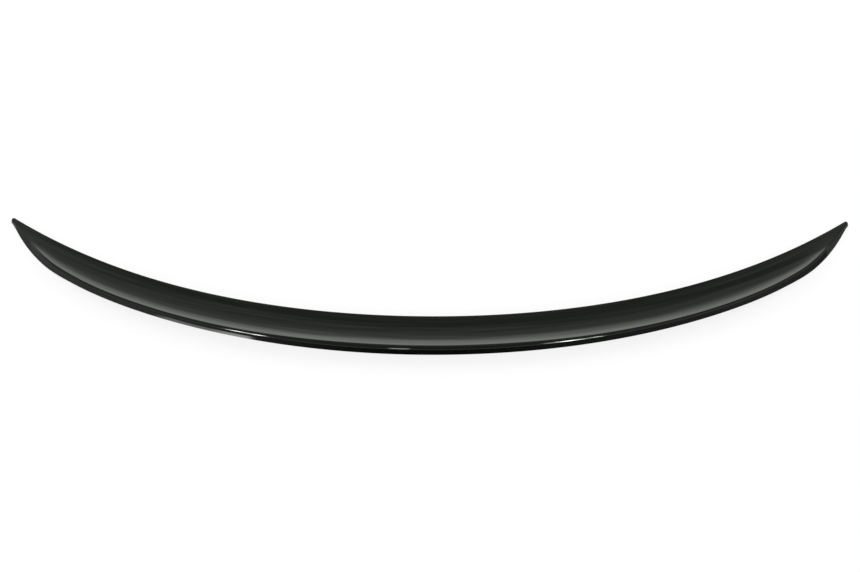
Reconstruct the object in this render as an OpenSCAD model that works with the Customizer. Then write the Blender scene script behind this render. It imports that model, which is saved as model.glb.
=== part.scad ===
// Boot lid lip spoiler for a saloon car, one gloss black moulding with its bonding tape.
// +X runs across the car, +Y points to the front of the car, +Z is up. Millimetres.
// The moulding stands on its two tips and on the middle of its rear skirt.

/* [Overall] */
// width across the car, tip to tip
span = 1200; // [1000:10:1400]
// depth of the moulding at the middle, leading edge to trailing edge
chord = 58; // [50:0.5:70]
// fall of the boot lid from its middle to its shoulders, followed by the underside
crown = 12; // [4:0.5:16]

/* [Plan shape] */
// forward sweep of the tips, even part of the curve
bow = 119; // [80:1:160]
// forward sweep of the tips, part that gathers near the ends
hook = 42; // [10:1:60]
// share of the depth lost towards the ends before the tips draw in
chord_taper = 0.225; // [0:0.005:0.3]
// how late the trailing edge turns in to the tips
tip_power = 15.5; // [10:0.5:20]
// width of the rounded nose of each tip
tip_width = 6.2; // [5.5:0.1:8]

/* [Upper surface] */
// thickness at the leading edge
front_edge = 3; // [2.6:0.1:4]
// radius of the leading edge, above and below
front_radius = 0.9; // [0.4:0.1:1.2]
// slope of the upper surface behind the leading edge, degrees
front_angle = 9; // [8:0.5:12]
// slope where the surface meets the lip, degrees
lip_angle = 32; // [28:0.5:38]
// how late the surface turns up to the lip
lip_power = 5.5; // [4:0.5:8]
// radius along the top of the lip
lip_radius = 3; // [2:0.1:3.4]

/* [Rear face] */
// lean of the rear face at the middle, degrees from upright
rear_lean = 3; // [0:0.5:6]
// lean of the rear face at the tips, degrees from upright
tip_lean = 33; // [10:1:36]
// radius at the foot of the rear face
foot_radius = 1; // [0.4:0.1:1.4]

/* [Underside] */
// thickness of the skin over the hollow
wall = 3; // [2.4:0.1:3.2]
// width of the rim along the leading edge
front_rim = 2.2; // [1.6:0.1:3]
// width of the skirt along the trailing edge
rear_skirt = 2.6; // [2:0.1:3.2]
// width of the tape land behind the leading edge
front_land = 9.4; // [8.8:0.1:11]
// width of the tape land in front of the rear skirt
rear_land = 8.4; // [7.8:0.1:10]
// depth of the front tape land above the rim
front_recess = 0.8; // [0.4:0.1:1]
// depth of the rear tape land above the skirt
rear_recess = 2; // [1.5:0.1:2.4]
// where the hollow starts to close, share of the half width
hollow_end = 0.84; // [0.78:0.01:0.86]

/* [Ribs] */
// ribs on each side of the middle one
ribs_each_side = 6; // [3:1:6]
// distance between ribs
rib_pitch = 72; // [50:1:75]
// thickness of a rib
rib_thickness = 2.5; // [1.8:0.1:3]
// distance the ribs stay above the rear tape land
rib_rise = 1.5; // [1:0.1:2.5]

/* [Tape] */
// thickness of the foam tape
foam_thickness = 1.1; // [0.8:0.1:1.4]
// width of the front foam tape
front_foam = 8; // [6:0.5:8.5]
// width of the rear foam tape
rear_foam = 7; // [5:0.5:7.5]
// thickness of the release film
liner_thickness = 0.2; // [0.1:0.05:0.3]

/* [Smoothness] */
// stations along each half of the moulding
stations = 36; // [28:1:40]
// steps round the top of the lip
lip_steps = 7; // [5:1:9]

/* [Hidden] */
part_colour = [0.05, 0.05, 0.055];
foam_colour = [0.2, 0.2, 0.21];
liner_colour = [0.75, 0.08, 0.08];

// radius of the nose, and the leading rail that ends under it
nose_radius = tip_width / 2;
tip_turn = atan((2 * bow + 4 * hook) / (span / 2));
rail_reach = span / 2 - nose_radius * (1 + sin(tip_turn) - cos(tip_turn));
nose_start = 1 - nose_radius * cos(tip_turn) / rail_reach;

// the underside is level between the tips and the middle of the rear skirt
tip_front = bow + hook;
tip_foot = tip_front - tip_width * cos(tip_turn);
deck_rake = crown / (tip_foot + chord - foot_radius);
middle_y = (tip_front - nose_radius * (sin(tip_turn) + cos(tip_turn) - 1) - chord) / 2;

// shares of the half width: stations of one half, even in the middle, close at the tip
half_shares = concat(
  [for (i = [0:stations]) nose_start * (1 - (1 - i / stations) ^ 1.5)],
  [for (k = [0.45, 0.75, 0.93]) nose_start + (1 - nose_start) * k]
);
last_share = len(half_shares) - 1;
shares = concat([for (i = [last_share:-1:1]) -half_shares[i]], half_shares);

// shares of the upper surface between the leading edge and the lip
top_shares = [0.1, 0.24, 0.4, 0.54, 0.66, 0.76, 0.84, 0.9, 0.95];
roof_shares = [1, 0.8, 0.55, 0.28, 0];

// the hollow closes over this share of the half width, then the lands fade out
hollow_ease = 0.06;
land_ease = 0.03;
land_draft = 0.3;
least_hollow = 15;
full_width = front_rim + front_land + least_hollow + rear_land + rear_skirt + 2 * land_draft;
least_rim = 0.45;
rib_seat = 1;

// the strips run from the second station to the last one short of the fading lands
tape_first = 1;
tape_end = hollow_end + hollow_ease - 0.01;
tape_last = len([for (v = half_shares) if (v < tape_end) v]) - 1;
tab_share = 0.4;

// Plan curve of the leading edge, its outward direction and the width behind it

function rail(s) = [rail_reach * s, bow * s ^ 2 + hook * s ^ 4];

function outward(s) =
  let (slope = (2 * bow * s + 4 * hook * s ^ 3) / rail_reach)
  [slope, -1] / sqrt(1 + slope ^ 2);

function width_at(s) =
  tip_width + (chord * (1 - chord_taper * s ^ 2) - tip_width) * (1 - abs(s) ^ tip_power) ^ 1.5;

// how far the rounded nose has drawn in, from 0 to the nose radius
function nose_in(s) =
  let (k = max(0, abs(s) - nose_start) / (1 - nose_start))
  nose_radius * (1 - sqrt(1 - k ^ 2));

// height of the surface that the moulding is bonded to
function deck(s, y) = crown * (1 - s ^ 4) - deck_rake * (tip_foot - y);

// a point of the section, u back from the leading edge and z up from the deck
function place(s, u, z) =
  let (
    inset = nose_in(s),
    reach = inset + u * (1 - 2 * inset / tip_width),
    at = rail(s) + outward(s) * reach
  )
  [at[0], at[1] - middle_y, deck(s, at[1]) + z];

// Section: slopes, rear face and lip worked out from the width at hand

function ease(a, b, x) = let (k = min(1, max(0, (x - a) / (b - a)))) k * k * (3 - 2 * k);

function lip_slope(s) = tan(front_angle + (lip_angle - front_angle) * (1 - abs(s) ^ 24));

function lean_at(s) = rear_lean + (tip_lean - rear_lean) * abs(s) ^ 8;

function lip_radius_at(s) = min(lip_radius, 0.2 * width_at(s));

function mean_slope(s) = tan(front_angle) + (lip_slope(s) - tan(front_angle)) / lip_power;

// distance from the start of the lip to the foot of the rear face
function overhang(s) =
  let (
    turn = atan(lip_slope(s)),
    lean = lean_at(s),
    r = lip_radius_at(s),
    rise = front_edge + mean_slope(s) * width_at(s) - r * (cos(turn) - sin(lean))
  )
  (r * (sin(turn) + cos(lean)) + tan(lean) * rise) / (1 + tan(lean) * mean_slope(s));

function lip_start(s) = width_at(s) - overhang(s);

function top_z(s, u) =
  let (b = lip_start(s), q = u / b)
  front_edge + tan(front_angle) * u
    + (mean_slope(s) - tan(front_angle)) * b * max(0, q) ^ lip_power;

function arc(centre, r, from, to, steps) =
  [for (i = [0:steps])
    let (a = from + (to - from) * i / steps) centre + r * [cos(a), sin(a)]];

// round of the lip, from the upper surface over to the rear face
function lip_arc(s) =
  let (
    turn = atan(lip_slope(s)),
    r = lip_radius_at(s),
    start = lip_start(s),
    centre = [start + r * sin(turn), top_z(s, start) - r * cos(turn)]
  )
  arc(centre, r, 90 + turn, lean_at(s), lip_steps);

function front_radius_at(s) = min(front_radius, 0.1 * width_at(s));

// round of the leading edge, from the rim below to the upper surface
function front_nose(s) =
  let (
    r = front_radius_at(s),
    top = front_edge + r * tan(front_angle) - r / cos(front_angle)
  )
  concat(
    arc([r, r], r, 270, 180, 2),
    arc([r, top], r, 180, 90 + front_angle, 3)
  );

// round at the foot of the rear face, down to the skirt
function rear_foot(s) =
  let (
    lean = lean_at(s),
    slack = 1 / tan(45 - lean / 2),
    r = min(foot_radius, 0.8 * rear_skirt * rim_squeeze(s) / slack)
  )
  arc([width_at(s) - r * slack, r], r, lean, -90, 3);

// Underside: skirt, rear land, hollow, front land and rim, one list of points

// lands and rims narrow together where the section has no room for them in full
function squeeze(s) = min(1, width_at(s) / full_width);

function rim_squeeze(s) = max(least_rim, squeeze(s));

function hollow_at(s) = 1 - ease(hollow_end, hollow_end + hollow_ease, abs(s));

function recess_at(s) =
  1 - ease(hollow_end + hollow_ease, hollow_end + hollow_ease + land_ease, abs(s));

function front_land_at(s, u) = front_rim * rim_squeeze(s) + (land_draft + u) * squeeze(s);

function rear_land_at(s, u) =
  width_at(s) - rear_skirt * rim_squeeze(s) - (land_draft + u) * squeeze(s);

function roof(s, k) =
  let (
    draft = land_draft * squeeze(s),
    a = front_land_at(s, front_land) + draft,
    b = rear_land_at(s, rear_land) - draft,
    u = a + (b - a) * k,
    low = recess_at(s) * (front_recess + (rear_recess - front_recess) * k),
    high = max(low, top_z(s, u) - wall)
  )
  [u, low + (high - low) * hollow_at(s)];

function underside(s) =
  let (
    zf = front_recess * recess_at(s),
    zr = rear_recess * recess_at(s)
  )
  concat(
    [
      [rear_land_at(s, -land_draft), 0],
      [rear_land_at(s, 0), zr],
      [rear_land_at(s, rear_land), zr]
    ],
    [for (share = roof_shares) roof(s, share)],
    [
      [front_land_at(s, front_land), zf],
      [front_land_at(s, 0), zf],
      [front_land_at(s, -land_draft), 0]
    ]
  );

function section(s) =
  concat(
    front_nose(s),
    [for (q = top_shares)
      let (
        a = front_radius_at(s) * (1 - sin(front_angle)),
        u = a + (lip_start(s) - a) * q
      )
      [u, top_z(s, u)]],
    lip_arc(s),
    rear_foot(s),
    underside(s)
  );

// Loft through rings of equal length, closed with a flat or a pointed end

function ring(s, outline) = [for (p = outline) place(s, p[0], p[1])];

module loft(rings, first_end, last_end) {
  count = len(rings[0]);
  rows = len(rings);
  points = concat([for (r = rings) each r], [first_end, last_end]);
  first = count * rows;
  faces = concat(
    [for (j = [0:rows - 2], i = [0:count - 1])
      each [
        [j * count + i, (j + 1) * count + i, j * count + (i + 1) % count],
        [j * count + (i + 1) % count, (j + 1) * count + i, (j + 1) * count + (i + 1) % count]
      ]],
    [for (i = [0:count - 1]) [first, i, (i + 1) % count]],
    [for (i = [0:count - 1])
      [first + 1, (rows - 1) * count + (i + 1) % count, (rows - 1) * count + i]]
  );
  polyhedron(points = points, faces = faces, convexity = 10);
}

function tip_point(side) =
  place(side, tip_width / 2, 0.5 * top_z(side, tip_width / 2));

// Ribs across the hollow, upright in the plane of the section

module rib(s) {
  at = rail(s);
  turn = atan2(outward(s)[1], outward(s)[0]);
  a = front_land_at(s, front_land) - rib_seat;
  b = rear_land_at(s, rear_land) + rib_seat;
  low = deck(s, at[1] + outward(s)[1] * a);
  high = deck(s, at[1] + outward(s)[1] * b);
  outline = concat(
    [[a, low + front_recess + 0.4 * rib_rise], [b, high + rear_recess + rib_rise]],
    [for (k = [1, 0.75, 0.5, 0.25, 0])
      let (u = a + (b - a) * k)
      [u, low + (high - low) * k + top_z(s, u) - wall + rib_seat]]
  );
  translate([at[0], at[1] - middle_y, 0])
    rotate([0, 0, turn])
      rotate([90, 0, 0])
        linear_extrude(rib_thickness, center = true)
          polygon(outline);
}

module shell() {
  color(part_colour)
    union() {
      loft([for (s = shares) ring(s, section(s))], tip_point(-1), tip_point(1));
      for (i = [-ribs_each_side:ribs_each_side])
        rib(i * rib_pitch / rail_reach);
    }
}

// Tape: four strips of foam on the lands, each with its release film and a pull tab

function tape_shares(side, from, to) =
  let (run = [for (i = [from:to]) half_shares[i] * side])
  side > 0 ? run : [for (i = [len(run) - 1:-1:0]) run[i]];

function front_strip(s, width, top, thickness) =
  let (
    a = front_land_at(s, (front_land - width) / 2),
    b = front_land_at(s, (front_land + width) / 2),
    z = front_recess - top
  )
  [[a, z - thickness], [a, z], [b, z], [b, z - thickness]];

function rear_strip(s, width, top, thickness) =
  let (
    a = rear_land_at(s, (rear_land + width) / 2),
    b = rear_land_at(s, (rear_land - width) / 2),
    z = rear_recess - top
  )
  [[a, z - thickness], [a, z], [b, z], [b, z - thickness]];

function ring_middle(points) = [for (k = [0:2]) (points[0][k] + points[2][k]) / 2];

module strip(rings) {
  loft(rings, ring_middle(rings[0]), ring_middle(rings[len(rings) - 1]));
}

module front_foam_strip(side) {
  color(foam_colour)
    strip([for (s = tape_shares(side, tape_first, tape_last))
      ring(s, front_strip(s, front_foam, 0, foam_thickness))]);
}

module rear_foam_strip(side) {
  color(foam_colour)
    strip([for (s = tape_shares(side, tape_first, tape_last))
      ring(s, rear_strip(s, rear_foam, 0, foam_thickness))]);
}

// the film runs on past the tape towards the middle, as a tab to pull
function film_shares(side) =
  let (
    run = tape_shares(side, tape_first, tape_last),
    tab = half_shares[tape_first] * tab_share * side
  )
  side > 0 ? concat([tab], run) : concat(run, [tab]);

module front_film(side) {
  color(liner_colour)
    strip([for (s = film_shares(side))
      ring(s, front_strip(s, front_foam, foam_thickness, liner_thickness))]);
}

module rear_film(side) {
  color(liner_colour)
    strip([for (s = film_shares(side))
      ring(s, rear_strip(s, rear_foam, foam_thickness, liner_thickness))]);
}

module front_tape_left() {
  front_foam_strip(-1);
}

module front_tape_right() {
  front_foam_strip(1);
}

module rear_tape_left() {
  rear_foam_strip(-1);
}

module rear_tape_right() {
  rear_foam_strip(1);
}

module front_liner_left() {
  front_film(-1);
}

module front_liner_right() {
  front_film(1);
}

module rear_liner_left() {
  rear_film(-1);
}

module rear_liner_right() {
  rear_film(1);
}

shell();
front_tape_left();
front_tape_right();
rear_tape_left();
rear_tape_right();
front_liner_left();
front_liner_right();
rear_liner_left();
rear_liner_right();
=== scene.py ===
from math import atan, copysign, cos, exp, pi, radians, sin, sqrt, tan

import bpy
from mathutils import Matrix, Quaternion, Vector


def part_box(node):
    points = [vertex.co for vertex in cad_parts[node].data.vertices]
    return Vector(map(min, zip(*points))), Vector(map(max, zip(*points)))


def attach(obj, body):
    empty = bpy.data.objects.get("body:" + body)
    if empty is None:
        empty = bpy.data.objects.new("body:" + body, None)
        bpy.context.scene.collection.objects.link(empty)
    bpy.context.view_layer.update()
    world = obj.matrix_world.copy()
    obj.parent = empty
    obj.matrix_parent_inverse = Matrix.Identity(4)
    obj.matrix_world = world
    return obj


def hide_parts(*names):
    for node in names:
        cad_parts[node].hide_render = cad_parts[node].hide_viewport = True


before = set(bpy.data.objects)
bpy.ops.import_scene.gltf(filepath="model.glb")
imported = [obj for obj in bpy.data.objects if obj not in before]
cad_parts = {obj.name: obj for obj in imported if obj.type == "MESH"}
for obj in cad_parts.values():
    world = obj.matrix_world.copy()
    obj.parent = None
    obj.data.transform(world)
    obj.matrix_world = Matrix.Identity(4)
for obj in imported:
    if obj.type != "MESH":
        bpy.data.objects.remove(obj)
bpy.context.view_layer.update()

# ---------------------------------------------------------------------------
# Moulding: the blade itself, one injection moulded skin that is bowed in plan
# and curls up behind into a rounded lip. Its outside is painted gloss black
# and polished; below it is bare plastic, hollow between two tape lands.

# plan, in millimetres as on the drawing
SPAN, CHORD, CROWN = 1200, 58, 12
BOW, HOOK, CHORD_TAPER = 119, 42, 0.225
TIP_POWER, TIP_EASE, TIP_WIDTH = 15.5, 1.5, 6.2
# section
FRONT_EDGE, FRONT_RADIUS, FRONT_ANGLE = 3, 0.9, radians(9)
LIP_ANGLE, LIP_POWER, LIP_RADIUS = radians(32), 5.5, 3
REAR_LEAN, FOOT_RADIUS = radians(3), 1
# where the blade is narrow, the radii of the front edge and the lip are held to these shares of
# its width, and the foot's to a share of the skirt
FRONT_SHARE, LIP_SHARE, FOOT_SHARE = 0.1, 0.2, 0.8
# the lip is rounder and its curl a little wider at the middle of the span
ROUND_FROM, ROUND_TO, EXTRA_ROUND, POWER_DROP = 0.1, 0.58, 1.5, 0.15
# just before the tips the lip melts away, and the rear face leans over forwards: it heads for
# TIP_LEAN, but its top lies ahead of its foot by no more than a share of the width
LIP_FADE_START, LIP_FADE_END = 0.875, 0.97
TIP_LEAN, LEAN_POWER, MOST_SETBACK = radians(120), 12, 0.38
# the skin is a little full towards the tips
FULL_FROM, FULL_TO, TIP_FILL = 0.8, 0.88, 1.5
# it stands slightly proud just behind the leading edge
FRONT_CROWN, CROWN_LENGTH = 0.25, 6
# underside
WALL, FRONT_RIM, REAR_SKIRT = 3, 2.2, 2.6
FRONT_LAND, REAR_LAND, FRONT_RECESS, REAR_RECESS = 9.4, 8.4, 0.8, 2
HOLLOW_END, HOLLOW_EASE, LAND_EASE, LAND_DRAFT = 0.84, 0.06, 0.03, 0.3
# a blade narrower than FULL_WIDTH has narrower lands and rims, the rims down to a least share
HOLLOW_WIDTH, LEAST_RIM = 15, 0.45
FULL_WIDTH = FRONT_RIM + FRONT_LAND + HOLLOW_WIDTH + REAR_LAND + REAR_SKIRT + 2 * LAND_DRAFT
# points round the section, which crowd towards the lip, and sections, which crowd towards the tips
TOP_STEPS, TOP_CROWDING, LIP_STEPS, FOOT_STEPS = 40, 1.25, 16, 6
EDGE_STEPS, ROOF_STEPS = 5, 10
HALF_STATIONS, STATION_CROWDING, NOSE_STATIONS = 130, 1.5, 10
# from here on the end of the nose is rounded over, above and below, by this much
ROUND_OVER_FROM, ROUND_OVER = 0.5, 0.85

NOSE = TIP_WIDTH / 2
TIP_TURN = atan((2 * BOW + 4 * HOOK) / (SPAN / 2))
REACH = SPAN / 2 - NOSE * (1 + sin(TIP_TURN) - cos(TIP_TURN))
NOSE_START = 1 - NOSE * cos(TIP_TURN) / REACH
TIP_FRONT = BOW + HOOK
TIP_FOOT = TIP_FRONT - TIP_WIDTH * cos(TIP_TURN)
DECK_RAKE = CROWN / (TIP_FOOT + CHORD - FOOT_RADIUS)
MIDDLE_Y = (TIP_FRONT - NOSE * (sin(TIP_TURN) + cos(TIP_TURN) - 1) - CHORD) / 2


def leading_edge(s):
    """Leading edge in plan at a share s of the half span: a point, and the way square back."""
    slope = (2 * BOW * s + 4 * HOOK * s ** 3) / REACH
    long = sqrt(1 + slope ** 2)
    return REACH * s, BOW * s ** 2 + HOOK * s ** 4, slope / long, -1 / long


def width_at(s):
    """Width of the blade, square to its leading edge."""
    full = CHORD * (1 - CHORD_TAPER * s ** 2)
    return TIP_WIDTH + (full - TIP_WIDTH) * (1 - abs(s) ** TIP_POWER) ** TIP_EASE


def lid_height(s, y):
    """Height of the boot lid's surface, which the underside follows."""
    return CROWN * (1 - s ** 4) - DECK_RAKE * (TIP_FOOT - y)


def on_lid(s, back, up):
    """A point of the section in metres: back from the leading edge, up from the lid."""
    k = max(0, abs(s) - NOSE_START) / (1 - NOSE_START)
    inset = NOSE * (1 - sqrt(max(0, 1 - k ** 2)))
    reach = inset + back * (1 - 2 * inset / TIP_WIDTH)
    x, y, out_x, out_y = leading_edge(s)
    x, y = x + out_x * reach, y + out_y * reach
    return Vector((x, y - MIDDLE_Y, lid_height(s, y) + up)) / 1000


def ease(low, high, value):
    """Smooth rise from 0, where the value is low, to 1, where it is high."""
    k = min(1, max(0, (value - low) / (high - low)))
    return k * k * (3 - 2 * k)


def arc(centre, radius, start, end, steps):
    """Points along an arc, both its ends among them."""
    return [
        (
            centre[0] + radius * cos(start + (end - start) * i / steps),
            centre[1] + radius * sin(start + (end - start) * i / steps),
        )
        for i in range(steps + 1)
    ]


def outside(s):
    """Section of the painted skin, from under the leading edge over the lip to the skirt."""
    a = abs(s)
    width = width_at(s) + TIP_FILL * ease(FULL_FROM, FULL_TO, a)
    lip_left = 1 - ease(LIP_FADE_START, LIP_FADE_END, a)
    lip_slope = tan(FRONT_ANGLE + (LIP_ANGLE - FRONT_ANGLE) * lip_left)
    rounder = 1 - ease(ROUND_FROM, ROUND_TO, a)
    power = LIP_POWER - POWER_DROP * rounder
    mean = tan(FRONT_ANGLE) + (lip_slope - tan(FRONT_ANGLE)) / power
    steepest = atan(MOST_SETBACK * width / (FRONT_EDGE + mean * width))
    lean = min(steepest, REAR_LEAN + (TIP_LEAN - REAR_LEAN) * a ** LEAN_POWER)
    turn = atan(lip_slope)
    round_lip = min(LIP_RADIUS + EXTRA_ROUND * rounder, LIP_SHARE * width)
    rise = FRONT_EDGE + mean * width - round_lip * (cos(turn) - sin(lean))
    setback = (round_lip * (sin(turn) + cos(lean)) + tan(lean) * rise) / (1 + tan(lean) * mean)
    lip = width - setback
    crowned = min(1, width / FULL_WIDTH) ** 2

    def top(u):
        """Height of the upper surface over the lid, at a distance back from the leading edge."""
        curl = (mean - tan(FRONT_ANGLE)) * lip * max(0, u / lip) ** power
        proud = FRONT_CROWN * crowned * exp(-u / CROWN_LENGTH)
        return FRONT_EDGE + tan(FRONT_ANGLE) * u + curl + proud

    r = min(FRONT_RADIUS, FRONT_SHARE * width)
    edge = arc((r, r), r, 1.5 * pi, pi, EDGE_STEPS)
    edge += arc((r, top(r) - r / cos(FRONT_ANGLE)), r, pi, pi / 2 + FRONT_ANGLE, EDGE_STEPS)
    first = r * (1 - sin(FRONT_ANGLE))
    surface = []
    for i in range(1, TOP_STEPS):
        u = first + (lip - first) * (1 - (1 - i / TOP_STEPS) ** TOP_CROWDING)
        surface.append((u, top(u)))
    centre = (lip + round_lip * sin(turn), top(lip) - round_lip * cos(turn))
    over = arc(centre, round_lip, pi / 2 + turn, lean, LIP_STEPS)
    # the centre of the foot's round lies this many radii in from the corner
    slack = 1 / tan(pi / 4 - lean / 2)
    rim = max(LEAST_RIM, min(1, width / FULL_WIDTH))
    foot_r = min(FOOT_RADIUS, FOOT_SHARE * REAR_SKIRT * rim / slack)
    foot = arc((width - foot_r * slack, foot_r), foot_r, lean, -pi / 2, FOOT_STEPS)
    face = [
        tuple(over[-1][k] + (foot[0][k] - over[-1][k]) * share for k in (0, 1))
        for share in (0.25, 0.5, 0.75)
    ]
    return edge + surface + over + face + foot, top


def underside(s, top):
    """Section below: skirt, rear land, hollow, front land and rim, from back to front."""
    width, a = width_at(s), abs(s)
    squeeze = min(1, width / FULL_WIDTH)
    rim, draft = max(LEAST_RIM, squeeze), LAND_DRAFT * squeeze
    hollow = 1 - ease(HOLLOW_END, HOLLOW_END + HOLLOW_EASE, a)
    recess = 1 - ease(HOLLOW_END + HOLLOW_EASE, HOLLOW_END + HOLLOW_EASE + LAND_EASE, a)
    front = FRONT_RIM * rim
    rear = width - REAR_SKIRT * rim
    front_top, rear_top = FRONT_RECESS * recess, REAR_RECESS * recess
    hollow_front = front + (LAND_DRAFT + FRONT_LAND) * squeeze + draft
    hollow_rear = rear - (LAND_DRAFT + REAR_LAND) * squeeze - draft
    roof = []
    for i in range(ROOF_STEPS + 1):
        k = 1 - i / ROOF_STEPS
        u = hollow_front + (hollow_rear - hollow_front) * k
        low = recess * (FRONT_RECESS + (REAR_RECESS - FRONT_RECESS) * k)
        roof.append((u, low + (max(low, top(u) - WALL) - low) * hollow))
    rear_end = rear - draft - REAR_LAND * squeeze
    front_end = front + draft + FRONT_LAND * squeeze
    return (
        [(rear, 0), (rear - draft, rear_top), (rear_end, rear_top)]
        + roof
        + [(front_end, front_top), (front + draft, front_top), (front, 0)]
    )


half = [
    NOSE_START * (1 - (1 - i / HALF_STATIONS) ** STATION_CROWDING)
    for i in range(HALF_STATIONS + 1)
]
half += [
    NOSE_START + (1 - NOSE_START) * sin(pi / 2 * j / (NOSE_STATIONS + 0.5))
    for j in range(1, NOSE_STATIONS + 1)
]
stations = [-s for s in reversed(half[1:])] + half

rings = []
for s in stations:
    skin, top = outside(s)
    painted = len(skin)
    section = skin + underside(s, top)
    k = max(0, (abs(s) - NOSE_START) / (1 - NOSE_START) - ROUND_OVER_FROM) / (1 - ROUND_OVER_FROM)
    middle = top(TIP_WIDTH / 2) / 2
    section = [(u, middle + (z - middle) * sqrt(1 - ROUND_OVER * k ** 2)) for u, z in section]
    rings.append([on_lid(s, u, z) for u, z in section])
# a last ring in one point closes each end
for end in (0, -1):
    point = sum(rings[end], Vector()) / len(rings[end])
    rings.insert(0 if end == 0 else len(rings), [point] * len(rings[end]))
around = len(rings[0])

# each row of the grid becomes a ring round the section, each column a line along the span
bpy.ops.object.select_all(action="DESELECT")
bpy.ops.mesh.primitive_grid_add(
    x_subdivisions=len(rings) - 1, y_subdivisions=around, size=1, calc_uvs=True
)
moulding = bpy.context.object
moulding.name = "moulding"
mesh = moulding.data
uv = mesh.uv_layers.active.data
spots = []
for vertex in mesh.vertices:
    row = round((vertex.co.x + 0.5) * (len(rings) - 1))
    step = round((vertex.co.y + 0.5) * around)
    spots.append((row, step))
    vertex.co = rings[row][step % around]
# the pattern of the paint runs along the blade and, across it, by the length round the section
girths = []
for ring in rings:
    girth = [0]
    for i in range(around):
        girth.append(girth[-1] + (ring[(i + 1) % around] - ring[i]).length)
    girths.append(girth)
for polygon in mesh.polygons:
    steps = [spots[v][1] for v in polygon.vertices]
    polygon.material_index = 1 if min(steps) >= painted - 1 else 0
    for loop in polygon.loop_indices:
        row, step = spots[mesh.loops[loop].vertex_index]
        uv[loop].uv = (rings[row][0].x, girths[row][step])
bpy.ops.object.mode_set(mode="EDIT")
bpy.ops.mesh.select_all(action="SELECT")
bpy.ops.mesh.remove_doubles(threshold=1e-6)
bpy.ops.mesh.normals_make_consistent(inside=False)
bpy.ops.object.mode_set(mode="OBJECT")

# ribs across the hollow stiffen the blade; they are moulded in one with it
RIBS_EACH_SIDE, RIB_PITCH, RIB_THICKNESS, RIB_SEAT = 6, 72, 2.5, 1
# how far they stay above the lands' level behind, and the share of it in front
RIB_RISE, FRONT_RISE_SHARE = 1.5, 0.4


def rib_outline(s):
    """Corners of a rib in the plane of the section, in millimetres along it and up."""
    _, y, _, out_y = leading_edge(s)
    top = outside(s)[1]
    a = FRONT_RIM + LAND_DRAFT + FRONT_LAND - RIB_SEAT
    b = width_at(s) - REAR_SKIRT - LAND_DRAFT - REAR_LAND + RIB_SEAT
    low, high = lid_height(s, y + out_y * a), lid_height(s, y + out_y * b)
    outline = [
        (a, low + FRONT_RECESS + FRONT_RISE_SHARE * RIB_RISE),
        (b, high + REAR_RECESS + RIB_RISE),
    ]
    for k in (1, 0.75, 0.5, 0.25, 0):
        u = a + (b - a) * k
        outline.append((u, low + (high - low) * k + top(u) - WALL + RIB_SEAT))
    return outline


separate_ribs = []
for i in range(-RIBS_EACH_SIDE, RIBS_EACH_SIDE + 1):
    s = i * RIB_PITCH / REACH
    x, y, out_x, out_y = leading_edge(s)
    outline = rib_outline(s)
    bpy.ops.object.select_all(action="DESELECT")
    bpy.ops.mesh.primitive_circle_add(vertices=len(outline), radius=0.01, fill_type="NGON")
    rib = bpy.context.object
    for vertex, (u, z) in zip(rib.data.vertices, outline):
        vertex.co = Vector((x + out_x * u, y - MIDDLE_Y + out_y * u, z)) / 1000
        vertex.co += Vector((-out_y, out_x, 0)) * RIB_THICKNESS / 2000
    bpy.ops.object.mode_set(mode="EDIT")
    bpy.ops.mesh.select_all(action="SELECT")
    bpy.ops.mesh.extrude_region_move(
        TRANSFORM_OT_translate={"value": Vector((out_y, -out_x, 0)) * RIB_THICKNESS / 1000}
    )
    bpy.ops.mesh.select_all(action="SELECT")
    bpy.ops.mesh.normals_make_consistent(inside=False)
    bpy.ops.object.mode_set(mode="OBJECT")
    separate_ribs.append(rib)
bpy.ops.object.select_all(action="DESELECT")
for rib in separate_ribs:
    rib.select_set(True)
bpy.context.view_layer.objects.active = separate_ribs[0]
bpy.ops.object.join()
ribs = bpy.context.object
bpy.ops.object.transform_apply(location=True, rotation=True, scale=True)
for polygon in ribs.data.polygons:
    polygon.material_index = 1


def node_material(name, roughness, base):
    """A material whose nodes are still to be joined: its tree and its shader."""
    material = bpy.data.materials.new(name)
    material.use_nodes = True
    shader = material.node_tree.nodes["Principled BSDF"]
    shader.inputs["Base Color"].default_value = (*base, 1)
    shader.inputs["Roughness"].default_value = roughness
    material.diffuse_color = (*base, 1)
    return material, material.node_tree, shader


def add(tree, kind, inputs=(), **settings):
    """A node with its settings, and each named input set or joined to a socket."""
    node = tree.nodes.new(kind)
    for key, value in settings.items():
        setattr(node, key, value)
    for key, value in dict(inputs).items():
        if isinstance(value, bpy.types.NodeSocket):
            tree.links.new(value, node.inputs[key])
        else:
            node.inputs[key].default_value = value
    return node


# gloss black paint: deep, with the faint flow lines that polishing along the blade leaves
FLOW_SCALE, FLOW_DEPTH = (4.5, 95, 1), 0.0004
# one long shallow step in the polish runs slightly askew to the leading edge
STEP_PLACE, STEP_SKEW, STEP_HALF_WIDTH, STEP_DEPTH = 0.016, 0.012, 0.005, 0.00016
paint, tree, shader = node_material("gloss_black_paint", 0.04, (0.0022, 0.0027, 0.0023))
shader.inputs["Specular Tint"].default_value = (0.94, 1, 0.92, 1)
shader.inputs["IOR"].default_value = 1.5
unrolled = add(tree, "ShaderNodeUVMap", uv_map="UVMap")
stretch = add(tree, "ShaderNodeMapping", {"Vector": unrolled.outputs["UV"], "Scale": FLOW_SCALE})
flow = add(tree, "ShaderNodeTexNoise", {
    "Vector": stretch.outputs["Vector"], "Scale": 1, "Detail": 1.5,
})
flow_bump = add(tree, "ShaderNodeBump", {
    "Height": flow.outputs["Fac"], "Strength": 1, "Distance": FLOW_DEPTH,
})
along_and_round = add(tree, "ShaderNodeSeparateXYZ", {"Vector": unrolled.outputs["UV"]})
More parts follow.
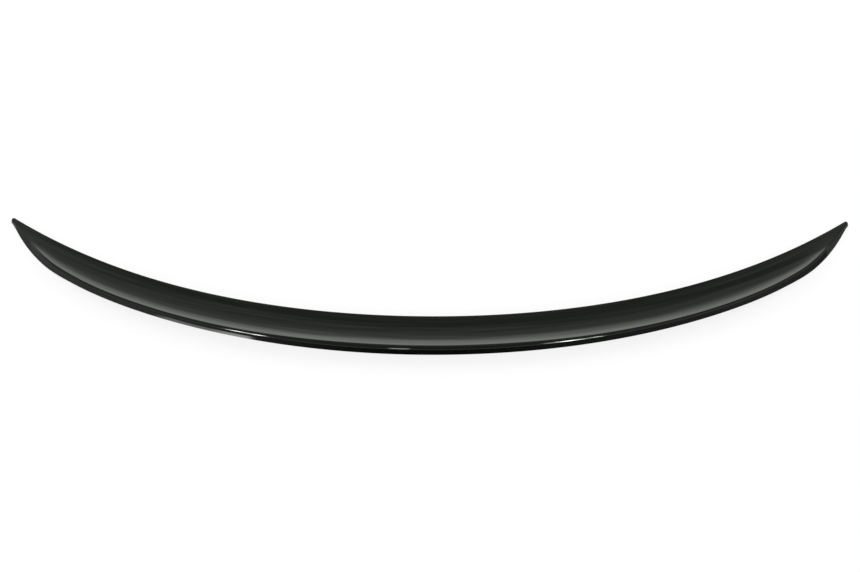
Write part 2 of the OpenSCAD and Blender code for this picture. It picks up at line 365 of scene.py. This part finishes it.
askew = add(tree, "ShaderNodeMath", {
    0: along_and_round.outputs["X"], 1: -STEP_SKEW, 2: -STEP_PLACE,
}, operation="MULTIPLY_ADD")
past_step = add(tree, "ShaderNodeMath", {
    0: along_and_round.outputs["Y"], 1: askew.outputs[0],
}, operation="ADD")
polish_step = add(tree, "ShaderNodeMapRange", {
    "Value": past_step.outputs[0], "From Min": -STEP_HALF_WIDTH, "From Max": STEP_HALF_WIDTH,
    "To Min": 1, "To Max": 0,
}, interpolation_type="SMOOTHSTEP")
step_bump = add(tree, "ShaderNodeBump", {
    "Height": polish_step.outputs["Result"], "Strength": 1, "Distance": STEP_DEPTH,
    "Normal": flow_bump.outputs["Normal"],
})
# fine orange peel, and haze that varies slowly over the surface
place = add(tree, "ShaderNodeTexCoord")
peel = add(tree, "ShaderNodeTexNoise", {
    "Vector": place.outputs["Object"], "Scale": 520, "Detail": 2, "Roughness": 0.5,
})
peel_bump = add(tree, "ShaderNodeBump", {
    "Height": peel.outputs["Fac"], "Strength": 0.06, "Distance": 0.0001,
    "Normal": step_bump.outputs["Normal"],
})
tree.links.new(peel_bump.outputs["Normal"], shader.inputs["Normal"])
haze = add(tree, "ShaderNodeTexNoise", {
    "Vector": place.outputs["Object"], "Scale": 14, "Detail": 4,
})
haze_range = add(tree, "ShaderNodeMapRange", {
    "Value": haze.outputs["Fac"], "From Min": 0.3, "From Max": 0.7, "To Min": 0.03, "To Max": 0.06,
})
tree.links.new(haze_range.outputs["Result"], shader.inputs["Roughness"])

# bare moulded plastic below, with a fine spark texture
plastic, tree, shader = node_material("bare_black_plastic", 0.55, (0.014, 0.0145, 0.015))
place = add(tree, "ShaderNodeTexCoord")
grain = add(tree, "ShaderNodeTexNoise", {
    "Vector": place.outputs["Object"], "Scale": 1800, "Detail": 3, "Roughness": 0.6,
})
grain_bump = add(tree, "ShaderNodeBump", {
    "Height": grain.outputs["Fac"], "Strength": 0.3, "Distance": 0.0001,
})
tree.links.new(grain_bump.outputs["Normal"], shader.inputs["Normal"])
shade = add(tree, "ShaderNodeMapRange", {
    "Value": grain.outputs["Fac"], "To Min": 0.48, "To Max": 0.66,
})
tree.links.new(shade.outputs["Result"], shader.inputs["Roughness"])
for piece in (moulding, ribs):
    piece.data.materials.clear()
    piece.data.materials.append(paint)
    piece.data.materials.append(plastic)

bpy.ops.object.select_all(action="DESELECT")
moulding.select_set(True)
bpy.context.view_layer.objects.active = moulding
join = moulding.modifiers.new("ribs", "BOOLEAN")
join.operation, join.solver, join.object = "UNION", "EXACT", ribs
bpy.ops.object.modifier_apply(modifier=join.name)
bpy.data.objects.remove(ribs, do_unlink=True)
bpy.ops.object.shade_smooth_by_angle(angle=radians(28))

# the moulding keeps to the drawing's own box
low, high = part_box("shell")
own_low = Vector(min(v.co[k] for v in moulding.data.vertices) for k in range(3))
own_high = Vector(max(v.co[k] for v in moulding.data.vertices) for k in range(3))
for vertex in moulding.data.vertices:
    vertex.co = Vector(
        low[k] + (vertex.co[k] - own_low[k]) * (high[k] - low[k]) / (own_high[k] - own_low[k])
        for k in range(3)
    )
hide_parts("shell")
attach(moulding, "root")

# ---------------------------------------------------------------------------
# Foam tape: four strips of grey acrylic foam on the lands, two in front and two
# behind. The foam is closed cell and slightly tacky, cut square at its ends.

foam, tree, shader = node_material("acrylic_foam", 0.9, (0.06, 0.06, 0.065))
place = add(tree, "ShaderNodeTexCoord")
cells = add(tree, "ShaderNodeTexVoronoi", {"Vector": place.outputs["Object"], "Scale": 2200})
cell_bump = add(tree, "ShaderNodeBump", {
    "Height": cells.outputs["Distance"], "Strength": 0.5, "Distance": 0.0001,
})
tree.links.new(cell_bump.outputs["Normal"], shader.inputs["Normal"])
cell_colour = add(tree, "ShaderNodeMapRange", {
    "Value": cells.outputs["Distance"], "From Max": 0.7, "To Min": 0.045, "To Max": 0.08,
})
tree.links.new(cell_colour.outputs["Result"], shader.inputs["Base Color"])


def dress_strips(kind, material):
    """Gives the four strips of one kind their material."""
    for run in ("front", "rear"):
        for side in ("left", "right"):
            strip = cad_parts[f"{run}_{kind}_{side}"]
            strip.data.materials.clear()
            strip.data.materials.append(material)


dress_strips("tape", foam)

# ---------------------------------------------------------------------------
# Release film: a thin red film over the glue of each strip, which runs on past
# the foam at the middle of the moulding as a tab to pull it off by.

film, tree, shader = node_material("red_release_film", 0.32, (0.55, 0.02, 0.02))
place = add(tree, "ShaderNodeTexCoord")
creases = add(tree, "ShaderNodeTexNoise", {
    "Vector": place.outputs["Object"], "Scale": 60, "Detail": 3, "Distortion": 0.8,
})
crease_bump = add(tree, "ShaderNodeBump", {
    "Height": creases.outputs["Fac"], "Strength": 0.3, "Distance": 0.0004,
})
tree.links.new(crease_bump.outputs["Normal"], shader.inputs["Normal"])
film_gloss = add(tree, "ShaderNodeMapRange", {
    "Value": creases.outputs["Fac"], "From Min": 0.3, "From Max": 0.7,
    "To Min": 0.25, "To Max": 0.42,
})
tree.links.new(film_gloss.outputs["Result"], shader.inputs["Roughness"])
dress_strips("liner", film)

# ---------------------------------------------------------------------------
# Floor: a round sheet of matt white paper that the moulding lies on. It fades
# out far from the moulding into the white of the room.

FLOOR_RADIUS, FADE_FROM, FADE_TO = 3.2, 1.3, 3.0
# to the camera and in the paint it is plain white by this share, and the rest keeps the shadow
PLAIN_SHARE = 0.8
bpy.ops.object.select_all(action="DESELECT")
bpy.ops.mesh.primitive_circle_add(vertices=96, radius=FLOOR_RADIUS, fill_type="TRIFAN")
floor = bpy.context.object
floor.name = "floor"
paper = bpy.data.materials.new("white_paper")
paper.use_nodes = True
tree = paper.node_tree
tree.nodes.clear()
ray = add(tree, "ShaderNodeLightPath")
direct = add(tree, "ShaderNodeMath", {
    0: ray.outputs["Is Camera Ray"], 1: ray.outputs["Is Glossy Ray"],
}, operation="ADD")
seen = add(tree, "ShaderNodeMath", {
    0: direct.outputs[0], 1: ray.outputs["Is Transmission Ray"],
}, operation="ADD")
plain = add(tree, "ShaderNodeMath", {
    0: seen.outputs[0], 1: PLAIN_SHARE,
}, operation="MULTIPLY", use_clamp=True)
lit = add(tree, "ShaderNodeBsdfDiffuse", {"Color": (0.95, 0.95, 0.95, 1)})
white = add(tree, "ShaderNodeEmission", {"Color": (1, 1, 1, 1), "Strength": 1})
sheet = add(tree, "ShaderNodeMixShader", {
    "Fac": plain.outputs[0], 1: lit.outputs[0], 2: white.outputs[0],
})
place = add(tree, "ShaderNodeTexCoord")
far = add(tree, "ShaderNodeVectorMath", {0: place.outputs["Object"]}, operation="LENGTH")
fade = add(tree, "ShaderNodeMapRange", {
    "Value": far.outputs["Value"], "From Min": FADE_FROM, "From Max": FADE_TO,
}, interpolation_type="SMOOTHSTEP")
clear = add(tree, "ShaderNodeBsdfTransparent")
faded = add(tree, "ShaderNodeMixShader", {
    "Fac": fade.outputs["Result"], 1: sheet.outputs[0], 2: clear.outputs[0],
})
add(tree, "ShaderNodeOutputMaterial", {"Surface": faded.outputs[0]})
floor.data.materials.append(paper)

# ---------------------------------------------------------------------------
# Painted reflection: a flat sheet, like the black card of product photography, lies on the floor
# close behind the blade and glows dark, graded to grey at its ends. Only the paint's reflections
# see it, so that the upright rear face mirrors it and looks black. It is out of the picture and
# throws no shadow.

# it is tucked under the foot, and towards the tips it gets deeper and fans out to the side
CARD_TUCK, CARD_DEPTH, CARD_TIP_DEPTH, CARD_END = 0.004, 0.055, 0.6, 0.985
DEEPER_FROM, DEEPER_TO, FAN_FROM, CARD_THICKNESS, CARD_STEPS = 0.8, 0.92, 0.85, 0.0003, 80
# painted highlight: a band along part of the sheet's near edge, on the left, glows brighter, and
# the lower rear face mirrors it as a thin light line
HIGHLIGHT_BAND_WIDTH, HIGHLIGHT_BAND_GLOW = 0.0091, 2.4
# glow of the painted highlight along the span, with the left tip at 0 and the right tip at 1
PAINTED_HIGHLIGHT_TONES = (
    (0.0, 0.0), (0.178, 0.0), (0.195, 0.36), (0.245, 0.42),
    (0.262, 0.8), (0.275, 1.0), (0.291, 1.0), (0.298, 0.0),
)
# glow of the sheet along the span, laid out the same way: the painted reflection that the rear
# face shows, darkest at the middle
PAINTED_REFLECTION_TONES = (
    (0.0, 0.6), (0.05, 0.38), (0.09, 0.22), (0.16, 0.2), (0.30, 0.1), (0.38, 0.04),
    (0.46, 0.0), (0.54, 0.0), (0.64, 0.04), (0.72, 0.06), (0.84, 0.1), (1.0, 0.18),
)
bpy.ops.object.select_all(action="DESELECT")
bpy.ops.mesh.primitive_grid_add(
    x_subdivisions=CARD_STEPS, y_subdivisions=2, size=1, calc_uvs=True
)
card = bpy.context.object
card.name = "painted_reflection_sheet"
for vertex in card.data.vertices:
    s = 2 * CARD_END * vertex.co.x
    foot = on_lid(s, width_at(s), 0)
    backwards, sideways = Vector((*leading_edge(s)[2:], 0)), Vector((copysign(1, s), 0, 0))
    out = backwards.lerp(sideways, ease(FAN_FROM, 1, abs(s)))
    out.normalize()
    deeper = ease(DEEPER_FROM, DEEPER_TO, abs(s))
    far_edge = CARD_DEPTH + (CARD_TIP_DEPTH - CARD_DEPTH) * deeper
    # the painted highlight band is the row of faces next to the blade
    row = round(2 * vertex.co.y)
    vertex.co = foot + out * {1: -CARD_TUCK, 0: HIGHLIGHT_BAND_WIDTH - CARD_TUCK, -1: far_edge}[row]
    vertex.co.z = CARD_THICKNESS


def graded(tree, along, tones, tint=(1, 1, 1), peak=1):
    """Tones along a socket's value, from pairs of place and brightness."""
    ramp = add(tree, "ShaderNodeValToRGB", {"Fac": along})
    stops = ramp.color_ramp.elements
    while len(stops) < len(tones):
        stops.new(0.5)
    for stop, (at, tone) in zip(stops, tones):
        stop.position = at
        stop.color = (*(share * tone / peak for share in tint), 1)
    return ramp.outputs["Color"]


painted_reflection_glow_material = bpy.data.materials.new("painted_reflection_glow_material")
painted_reflection_glow_material.use_nodes = True
tree = painted_reflection_glow_material.node_tree
tree.nodes.clear()
place = add(tree, "ShaderNodeTexCoord")
spot = add(tree, "ShaderNodeSeparateXYZ", {"Vector": place.outputs["Object"]})
along_span = add(tree, "ShaderNodeMapRange", {
    "Value": spot.outputs["X"], "From Min": -SPAN / 2000, "From Max": SPAN / 2000,
})
painted_reflection_tone = graded(tree, along_span.outputs["Result"], PAINTED_REFLECTION_TONES)
painted_highlight_tone = graded(tree, along_span.outputs["Result"], PAINTED_HIGHLIGHT_TONES)
row_spot = add(tree, "ShaderNodeSeparateXYZ", {"Vector": place.outputs["UV"]})
# painted highlight: the row next to the blade glows brighter, by its own tones along the span
on_highlight_band = add(tree, "ShaderNodeMath", {
    0: row_spot.outputs["Y"], 1: 0.5,
}, operation="GREATER_THAN")
full_highlight_band = add(tree, "ShaderNodeMath", {
    0: on_highlight_band.outputs[0], 1: HIGHLIGHT_BAND_GLOW,
}, operation="MULTIPLY")
painted_highlight_glow = add(tree, "ShaderNodeMath", {
    0: full_highlight_band.outputs[0], 1: painted_highlight_tone,
}, operation="MULTIPLY")
tone = add(tree, "ShaderNodeMath", {0: painted_highlight_glow.outputs[0], 1: painted_reflection_tone}, operation="ADD")
# the sheet is no lamp: it glows by these painted tones, and only the paint's reflections see it
painted_reflection_emission = add(tree, "ShaderNodeEmission", {"Color": (1, 1, 1, 1), "Strength": tone.outputs[0]})
add(tree, "ShaderNodeOutputMaterial", {"Surface": painted_reflection_emission.outputs[0]})
card.data.materials.append(painted_reflection_glow_material)
card.visible_camera = card.visible_shadow = False
card.visible_diffuse = card.visible_transmission = False

# ---------------------------------------------------------------------------
# Light: a white room whose front wall glows low down, a soft box at each side that
# lights the floor, and upright strip lamps behind the blade in three groups, which
# the paint mirrors as bright streaks.

# brightness of the front wall by height, from level at 0 to straight up at 1; it reaches a
# little higher on the left
FRONT_WALL = (
    (0.0, 2.0), (0.10, 2.3), (0.30, 2.3), (0.42, 2.05), (0.50, 1.6), (0.56, 1.1), (0.62, 0.76),
    (0.67, 0.61), (0.72, 0.55), (0.755, 0.38), (0.79, 0.26), (0.85, 0.26), (1.0, 0.42),
)
WALL_PEAK, WALL_TINT, WALL_SKEW = 2.4, (1, 1, 0.98), 0.1
# brightness of the back wall at its middle and at its sides, and where it changes
BACK_MIDDLE, BACK_SIDES, BACK_FROM, BACK_TO = 0.2, 0.55, 0.1, 0.6
# looking round from ahead to behind, the one wall turns into the other, sooner at the sides
TURN_FROM, TURN_TO, TURN_SKEW = 0.15, -0.25, 0.3
room = bpy.data.worlds.new("white_room")
bpy.context.scene.world = room
room.use_nodes = True
tree = room.node_tree
tree.nodes.clear()
way = add(tree, "ShaderNodeTexCoord")
axes = add(tree, "ShaderNodeSeparateXYZ", {"Vector": way.outputs["Generated"]})
height = add(tree, "ShaderNodeMath", {
    0: axes.outputs["X"], 1: WALL_SKEW, 2: axes.outputs["Z"],
}, operation="MULTIPLY_ADD")
front_wall = graded(tree, height.outputs[0], FRONT_WALL, WALL_TINT, WALL_PEAK)
to_side = add(tree, "ShaderNodeMath", {0: axes.outputs["X"]}, operation="ABSOLUTE")
back_wall = add(tree, "ShaderNodeMapRange", {
    "Value": to_side.outputs[0], "From Min": BACK_FROM, "From Max": BACK_TO,
    "To Min": BACK_MIDDLE / WALL_PEAK, "To Max": BACK_SIDES / WALL_PEAK,
})
ahead = add(tree, "ShaderNodeMath", {
    0: to_side.outputs[0], 1: -TURN_SKEW, 2: axes.outputs["Y"],
}, operation="MULTIPLY_ADD")
turned = add(tree, "ShaderNodeMapRange", {
    "Value": ahead.outputs[0], "From Min": TURN_FROM, "From Max": TURN_TO,
}, interpolation_type="SMOOTHSTEP")
walls = add(tree, "ShaderNodeMix", {
    0: turned.outputs["Result"], 6: front_wall, 7: back_wall.outputs["Result"],
}, data_type="RGBA")
glow = add(tree, "ShaderNodeBackground", {"Color": walls.outputs[2], "Strength": WALL_PEAK})
add(tree, "ShaderNodeOutputWorld", {"Surface": glow.outputs[0]})


def lamp(name, at, towards, size, radiance, mirrored=True):
    """A flat lamp at a place, facing a point; radiance 1 is as bright as lit white paper."""
    light = bpy.data.lights.new(name, "AREA")
    light.shape = "RECTANGLE"
    light.size, light.size_y = size
    light.energy = 4 * size[0] * size[1] * radiance
    lamp_object = bpy.data.objects.new(name, light)
    lamp_object.location = at
    lamp_object.rotation_mode = "QUATERNION"
    facing = Vector(towards) - Vector(at)
    lamp_object.rotation_quaternion = facing.to_track_quat("-Z", "Y")
    lamp_object.visible_camera, lamp_object.visible_glossy = False, mirrored
    bpy.context.scene.collection.objects.link(lamp_object)


# the paint would mirror the two soft boxes as hard patches, so it doesn't see them
BOX_SIDE, BOX_FRONT, BOX_UP, BOX_SIZE, BOX_RADIANCE = 1.9, 1.5, 0.95, 1, 8
for name, side in (("side_box_left", -1), ("side_box_right", 1)):
    at = (side * BOX_SIDE, BOX_FRONT, BOX_UP)
    lamp(name, at, (0, 0, 0), (BOX_SIZE, BOX_SIZE), BOX_RADIANCE, mirrored=False)
# place along the span, width and radiance of each strip lamp: at the left and right, a wide one
# and narrow ones that are brighter
STRIPS = (
    (-1.105, 0.26, 12.5), (-1.165, 0.06, 16), (-1.010, 0.05, 16),
    (-0.170, 0.11, 4),
    (0.830, 0.36, 4.8), (0.810, 0.15, 11), (0.795, 0.07, 19), (0.985, 0.06, 9),
)
STRIP_BACK, STRIP_UP, STRIP_HEIGHT = -2.15, 0.62, 1.15
# each faces a point above the blade, at this share of its own place along the span
AIM_SHARE, AIM_BACK, AIM_UP = 0.22, -0.09, 0.3
for i, (x, width, radiance) in enumerate(STRIPS):
    towards = (AIM_SHARE * x, AIM_BACK, AIM_UP)
    lamp(f"strip_{i + 1}", (x, STRIP_BACK, STRIP_UP), towards, (width, STRIP_HEIGHT), radiance)

# ---------------------------------------------------------------------------
# Camera: behind and 60 degrees above the moulding, two and a half metres away, and
# turned and rolled by a hair. Its focal length and shift are in the picture's pixels.

CAMERA_DISTANCE, CAMERA_HEIGHT_ANGLE, CAMERA_TURN = 2.5, radians(60), -0.0063
CAMERA_ROLL, CAMERA_AIM = -0.0012, Vector((0, -0.0009, 0.008))
IMAGE_WIDTH, FOCAL_PIXELS, SHIFT_ACROSS, SHIFT_UP = 860, 1784.7, 0.91, -1.79
back = Vector((
    -sin(CAMERA_TURN) * cos(CAMERA_HEIGHT_ANGLE),
    -cos(CAMERA_TURN) * cos(CAMERA_HEIGHT_ANGLE),
    sin(CAMERA_HEIGHT_ANGLE),
))
camera = bpy.data.objects.new("camera", bpy.data.cameras.new("camera"))
bpy.context.scene.collection.objects.link(camera)
camera.location = CAMERA_AIM + back * CAMERA_DISTANCE
camera.rotation_mode = "QUATERNION"
camera.rotation_quaternion = (-back).to_track_quat("-Z", "Y") @ Quaternion((0, 0, 1), CAMERA_ROLL)
camera.data.lens = camera.data.sensor_width * FOCAL_PIXELS / IMAGE_WIDTH
camera.data.shift_x, camera.data.shift_y = SHIFT_ACROSS / IMAGE_WIDTH, SHIFT_UP / IMAGE_WIDTH
bpy.context.scene.camera = camera
bpy.context.scene.view_settings.view_transform = "Standard"
